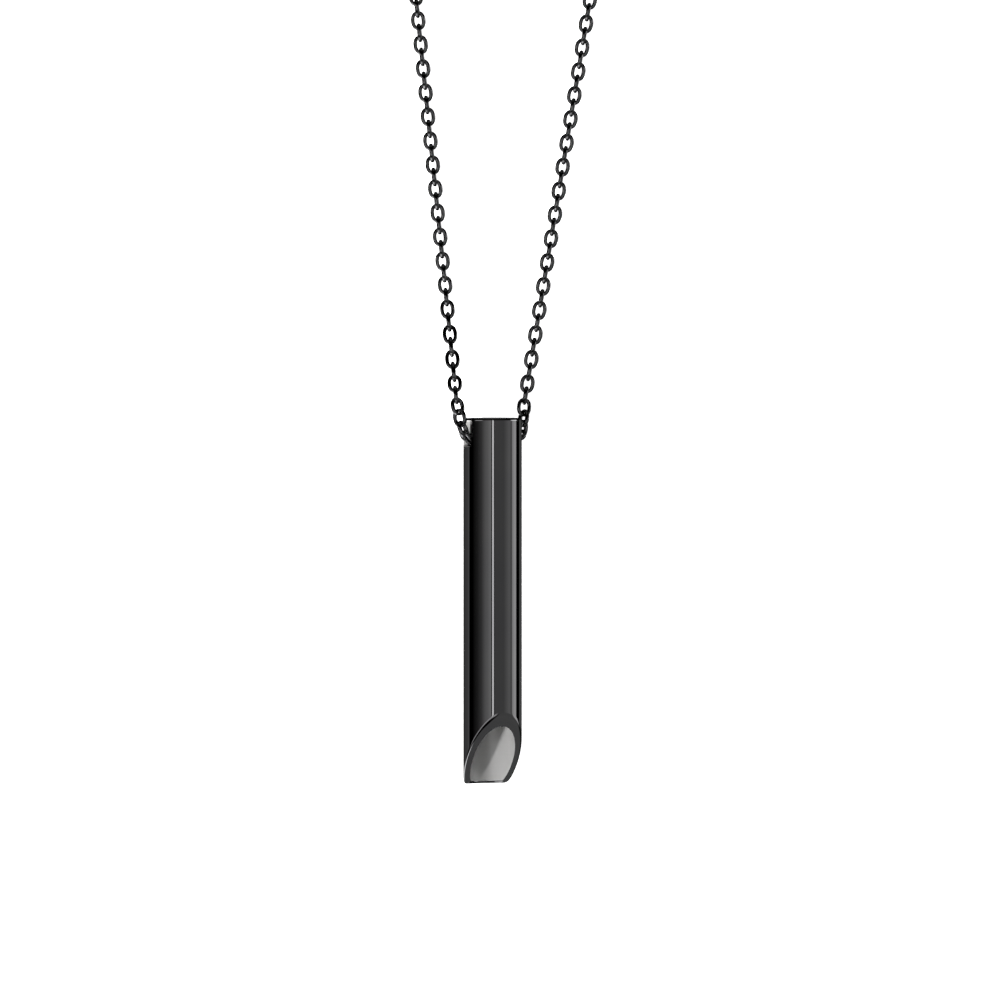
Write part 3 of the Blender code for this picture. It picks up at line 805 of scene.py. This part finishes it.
def make_clasp_spring():
    curve = bpy.data.curves.new("spring", "CURVE")
    curve.dimensions = "3D"
    curve.bevel_depth = SPRING_WIRE
    curve.bevel_resolution = 3
    curve.use_fill_caps = True
    count = SPRING_TURNS * SPRING_TURN_POINTS
    spline = curve.splines.new("POLY")
    spline.points.add(count)
    for i, point in enumerate(spline.points):
        angle = 2 * math.pi * i / SPRING_TURN_POINTS
        across, up = SPRING_RADIUS * math.cos(angle), SPRING_RADIUS * math.sin(angle)
        point.co = (SPRING_START[0] + SPRING_LENGTH * i / count, SPRING_START[1] + across, up, 1.0)
    mesh = moved(shade(mesh_of(curve), SPRING, SPRING_SHARP_ANGLE), CLASP_FRAME)
    finish_piece(add("clasp_spring_fine", mesh), "clasp_spring", "clasp")


make_rings()
make_clasp_body()
make_clasp_lever()
make_clasp_pin()
make_clasp_spring()
make_chain()


# ---------------------------------------------------------------- tube

TUBE_AXES = Matrix((ACROSS, -FACING, Vector((0, 1, 0)))).transposed()
TUBE_FRAME = Matrix.Translation(TUBE_CENTRE) @ TUBE_AXES.to_4x4()
CUT_SLOPE = CUT_HEIGHT / (TUBE_RADIUS - CUT_LIP)


def cut_height(facing):
    """Height of the mouthpiece's face at a distance along FACING: the flat end runs into the slanted face."""
    slanted = CUT_SLOPE * (facing - CUT_LIP)
    return (slanted + math.sqrt(slanted ** 2 + 4 * LIP_BLEND ** 2)) / 2 - TOP


def rounded(start, corner, end):
    """A corner between two edges as a smooth curve that leaves them at start and end."""
    points = []
    for i in range(EDGE_STEPS + 1):
        t = i / EDGE_STEPS
        points.append(start * (1 - t) ** 2 + 2 * corner * t * (1 - t) + end * t ** 2)
    return points


def tube_profile(angle):
    """One lengthwise section of the wall, as (radius, height) points round it, starting inside at the top."""
    facing = math.cos(angle)
    apex = smooth((facing - APEX_START) / APEX_SPAN)
    at_end = smooth((-facing - END_START) / END_SPAN)
    wall_edge = RIM_WALL + (RIM_EDGE_END - RIM_WALL) * at_end + (APEX_WALL - RIM_WALL) * apex
    face_edge = RIM_EDGE + (RIM_EDGE_END - RIM_EDGE) * at_end + (APEX_FACE - RIM_EDGE) * apex

    def on_face(radius):
        return Vector((radius, cut_height(radius * facing)))

    up = Vector((0.0, GUARD))
    bore_end = BORE_EDGE + (BORE_EDGE_END - BORE_EDGE) * at_end
    points = [Vector((BORE_RADIUS, TOP - BORE_EDGE)) - up]
    points += rounded(Vector((BORE_RADIUS, TOP - BORE_EDGE)), Vector((BORE_RADIUS, TOP)),
                      Vector((BORE_RADIUS + BORE_EDGE, TOP)))
    points += [Vector((BORE_RADIUS + BORE_EDGE + GUARD, TOP)), Vector((TUBE_RADIUS - TOP_EDGE - GUARD, TOP))]
    for i in range(EDGE_STEPS + 1):
        turn = math.pi / 2 * (1 - i / EDGE_STEPS)
        points.append(Vector((TUBE_RADIUS - TOP_EDGE + TOP_EDGE * math.cos(turn),
                              TOP - TOP_EDGE + TOP_EDGE * math.sin(turn))))
    rim = on_face(TUBE_RADIUS)
    wall_start = rim + Vector((0.0, wall_edge))
    points += [points[-1] - up, wall_start + up]
    points += rounded(wall_start, rim, on_face(TUBE_RADIUS - face_edge))
    outer, inner = TUBE_RADIUS - face_edge, BORE_RADIUS + bore_end
    middle = (outer + inner) / 2
    points += [on_face(outer - min(GUARD, outer - middle)), on_face(middle),
               on_face(inner + min(GUARD, (outer - inner) / 4))]
    wall_start = on_face(BORE_RADIUS) + Vector((0.0, bore_end))
    points += rounded(on_face(inner), on_face(BORE_RADIUS), wall_start)
    points.append(wall_start + up)
    return points


def tube_mesh():
    vertices, faces = [], []
    for column in range(COLUMNS):
        angle = 2 * math.pi * (column + 0.5) / COLUMNS
        profile = tube_profile(angle)
        for radius, height in profile:
            vertices.append((radius * math.sin(angle), -radius * math.cos(angle), height))
    rows = len(vertices) // COLUMNS
    for column in range(COLUMNS):
        beyond = (column + 1) % COLUMNS
        for row in range(rows):
            a, b = column * rows + row, column * rows + (row + 1) % rows
            c, d = beyond * rows + (row + 1) % rows, beyond * rows + row
            faces.append((a, b, c, d))
    mesh = bpy.data.meshes.new("tube")
    mesh.from_pydata(vertices, [], faces)
    return mesh


def window_cutter():
    height = TOP - WINDOW_TOP - WINDOW_HEIGHT / 2
    size = (4 * TUBE_RADIUS, WINDOW_WIDTH, WINDOW_HEIGHT)
    return box_mesh(size, (0.0, 0.0, height), WINDOW_CORNER, WINDOW_CORNER_STEPS)


BARE_SLOT, MILLED_SLOT = 1, 2


def paint_bare(mesh):
    """Bare steel on the bore's wall and on the windows' cut walls."""
    for face in mesh.polygons:
        x, y, z = face.center
        radius = math.hypot(x, y)
        from_window = TOP - z - WINDOW_TOP
        near_window = -WINDOW_MARGIN < from_window < WINDOW_HEIGHT + WINDOW_MARGIN
        if radius < BORE_RADIUS + BORE_MARGIN:
            face.material_index = BARE_SLOT
        elif near_window and radius < TUBE_RADIUS - WINDOW_SKIN:
            face.material_index = MILLED_SLOT


def make_tube():
    mesh = shade(mesh_of(tube_mesh(), [window_cutter()]), BLACK, TUBE_SHARP_ANGLE)
    mesh.materials.append(BARE)
    mesh.materials.append(MILLED)
    paint_bare(mesh)
    mesh.transform(TUBE_FRAME)
    finish_piece(add("tube_body_fine", mesh), "tube_body", "pendant")


def make_plug():
    radius = BORE_RADIUS - PLUG_GAP
    outline = [
        (0.0, TOP), (radius - PLUG_EDGE, TOP), (radius - PLUG_EDGE / 3, TOP - PLUG_EDGE / 3),
        (radius, TOP - PLUG_EDGE), (radius, TOP - PLUG_THICKNESS + PLUG_EDGE),
        (radius - PLUG_EDGE, TOP - PLUG_THICKNESS), (0.0, TOP - PLUG_THICKNESS),
    ]
    shape = bmesh.new()
    corners = [shape.verts.new((x, 0.0, z)) for x, z in outline]
    edges = [shape.edges.new(pair) for pair in zip(corners, corners[1:])]
    bmesh.ops.spin(shape, geom=corners + edges, cent=(0, 0, 0), axis=(0, 0, 1), angle=2 * math.pi,
                   steps=PLUG_STEPS)
    bmesh.ops.remove_doubles(shape, verts=shape.verts, dist=PLUG_MERGE)
    bmesh.ops.recalc_face_normals(shape, faces=shape.faces)
    mesh = bpy.data.meshes.new("plug")
    shape.to_mesh(mesh)
    shape.free()
    mesh = moved(shade(mesh, BLACK), TUBE_FRAME)
    finish_piece(add("end_plug_fine", mesh), "end_plug", "pendant")


make_tube()
make_plug()


# ---------------------------------------------------------------- studio

# Brightness of the surroundings by their angle round the tube's length, from straight up, + towards +X
SURROUNDINGS = (
    (-180, 0.02), (-146, 0.10), (-124, 0.25), (-114, 0.33), (-108, 0.48), (-105, 0.42), (-103.5, 0.0),
    (-85, 0.0), (-61, 0.10), (-44, 0.26), (-27.5, 0.70), (-19, 0.82), (-6, 1.18), (-4.5, 0.15), (-1.5, 0.15),
    (-0.2, 5.0), (4.0, 5.0), (5.5, 0.25), (12, 0.38), (45, 0.38), (70.7, 0.78), (80, 0.45), (82.5, 0.45),
    (84, 1.6), (97, 2.3), (106.5, 2.15), (108, 0.0), (130, 0.0), (132.5, 0.31), (144, 0.22), (161, 0.03),
    (180, 0.02),
)
# Brightness towards the two ends, by the share of the direction that lies along Y: all round, and within
# the angles of UPPER_RIGHT
END_SURROUNDINGS = (
    (-1.0, 0.40), (-0.74, 0.42), (-0.70, 0.0), (0.84, 0.0), (0.88, 0.40), (1.0, 0.40),
)
END_UPPER_RIGHT = (
    (-1.0, 0.40), (-0.65, 0.45), (-0.12, 0.38), (0.0, 0.38), (0.12, 0.0), (0.84, 0.0), (0.88, 0.40),
    (1.0, 0.40),
)
UPPER_RIGHT = (30, 95)               # degrees round Y, from straight up towards +X
STRIP_END = (0.20, 0.28)             # shares along Y between which the strips give way to the ends
# Softer panels off to the ends: angles round Y, shares along Y, brightness
PANELS = (
    {"turn": (-75, 22), "along": (-0.32, -0.13), "level": 2.0},
    {"turn": (80, 112), "along": (0.09, 0.34), "level": 6.0},
    {"turn": (84, 108), "along": (-0.34, -0.10), "level": 2.5},
    {"turn": (-150, -14), "along": (-0.97, -0.72), "level": 7.0},
    {"turn": (-150, -85), "along": (-0.72, -0.40), "level": 4.0},
    {"turn": (-72, -40), "along": (0.10, 0.24), "level": 4.0},
)
PANEL_SOFTNESS = 0.03
BACKDROP = 0.9
FLOOR_RADIUS = 4.0
FLOOR_DROP = 0.02 * MM               # just clear of what lies on it
FLOOR_GREY = 0.9
FLOOR_ROUGHNESS = 0.9
FLOOR_GLOW = 1.0                     # the floor is a light table
FLOOR_STEPS = 96
SUN_FROM = Vector((-0.62, -0.55, 0.56))
SUN_STRENGTH = 6.0
SUN_WIDTH = math.radians(6.0)


def math_node(tree, operation, *inputs):
    node = tree.nodes.new("ShaderNodeMath")
    node.operation = operation
    for i, value in enumerate(inputs):
        if isinstance(value, (int, float)):
            node.inputs[i].default_value = value
        else:
            tree.links.new(value, node.inputs[i])
    return node.outputs[0]


def mix_node(tree, factor, first, second):
    node = tree.nodes.new("ShaderNodeMix")
    node.data_type = "RGBA"
    for socket, value in (("Factor", factor), ("A", first), ("B", second)):
        target = [item for item in node.inputs if item.name == socket and item.enabled][0]
        if isinstance(value, tuple):
            target.default_value = value
        else:
            tree.links.new(value, target)
    return [item for item in node.outputs if item.enabled][0]


def fade(tree, value, start, stop):
    """0 at one value and 1 at another, changing softly between them."""
    node = tree.nodes.new("ShaderNodeMapRange")
    node.interpolation_type = "SMOOTHSTEP"
    node.inputs["From Min"].default_value = start
    node.inputs["From Max"].default_value = stop
    tree.links.new(value, node.inputs["Value"])
    return node.outputs["Result"]


def band(tree, value, low, high):
    """1 between two values, falling softly to 0 outside them."""
    half = PANEL_SOFTNESS / 2
    return math_node(tree, "MULTIPLY", fade(tree, value, low - half, low + half),
                     fade(tree, value, high + half, high - half))


def turn_share(degrees):
    """An angle round Y as a share of the whole turn, from straight down."""
    return (degrees + 180) / 360


def end_stops(stops):
    """Stops at shares along Y, from -1 to 1, as stops from 0 to 1."""
    return [((place + 1) / 2, level) for place, level in stops]


def surroundings(tree):
    """Strips of light along the tube, the two ends of the room, and the panels."""
    direction = tree.nodes.new("ShaderNodeTexCoord").outputs["Generated"]
    split = tree.nodes.new("ShaderNodeSeparateXYZ")
    tree.links.new(direction, split.inputs["Vector"])
    x, y, z = split.outputs
    turn = math_node(tree, "ARCTAN2", x, z)
    share = math_node(tree, "MULTIPLY_ADD", turn, 1 / (2 * math.pi), 0.5)
    strips = ramp(tree, share, [(turn_share(angle), level) for angle, level in SURROUNDINGS])
    along = math_node(tree, "MULTIPLY_ADD", y, 0.5, 0.5)
    upper_right = band(tree, share, *map(turn_share, UPPER_RIGHT))
    ends = mix_node(tree, upper_right, ramp(tree, along, end_stops(END_SURROUNDINGS)),
                    ramp(tree, along, end_stops(END_UPPER_RIGHT)))
    near_end = fade(tree, math_node(tree, "ABSOLUTE", y), *STRIP_END)
    around = mix_node(tree, near_end, strips, ends)
    for panel in PANELS:
        inside = math_node(tree, "MULTIPLY", band(tree, share, *map(turn_share, panel["turn"])),
                           band(tree, y, *panel["along"]))
        around = mix_node(tree, inside, around, (*[panel["level"]] * 3, 1.0))
    return around


def make_world():
    """Dark surroundings with long strips of light over the tube; the backdrop behind the object is pale."""
    world = bpy.data.worlds.new("studio")
    world.use_nodes = True
    bpy.context.scene.world = world
    tree = world.node_tree
    around = surroundings(tree)
    seen = tree.nodes.new("ShaderNodeLightPath").outputs["Is Camera Ray"]
    colour = mix_node(tree, seen, around, (BACKDROP, BACKDROP, BACKDROP, 1.0))
    tree.links.new(colour, tree.nodes["Background"].inputs["Color"])


def make_floor():
    mesh = bpy.data.meshes.new("floor")
    shape = bmesh.new()
    bmesh.ops.create_circle(shape, cap_ends=True, segments=FLOOR_STEPS, radius=FLOOR_RADIUS)
    shape.to_mesh(mesh)
    shape.free()
    material = bpy.data.materials.new("pale_floor")
    material.use_nodes = True
    shader = material.node_tree.nodes["Principled BSDF"]
    shader.inputs["Base Color"].default_value = (FLOOR_GREY, FLOOR_GREY, FLOOR_GREY, 1.0)
    shader.inputs["Roughness"].default_value = FLOOR_ROUGHNESS
    shader.inputs["Specular IOR Level"].default_value = 0.0
    shader.inputs["Emission Color"].default_value = (1.0, 1.0, 1.0, 1.0)
    shader.inputs["Emission Strength"].default_value = FLOOR_GLOW
    mesh.materials.append(material)
    floor = add("floor", mesh, STUDIO)
    floor.location.z = -FLOOR_DROP
    floor.visible_glossy = False


def make_light():
    """A light from the front left for what is matt; bright metal sees only the strips and panels."""
    data = bpy.data.lights.new("front_left", "SUN")
    data.energy = SUN_STRENGTH
    data.angle = SUN_WIDTH
    sun = add("front_left", data, STUDIO)
    sun.rotation_euler = SUN_FROM.to_track_quat("Z", "Y").to_euler()
    sun.visible_glossy = False


def set_view():
    bpy.context.scene.view_settings.view_transform = "Standard"
    bpy.context.scene.view_settings.look = "None"


make_world()
make_floor()
make_light()
set_view()
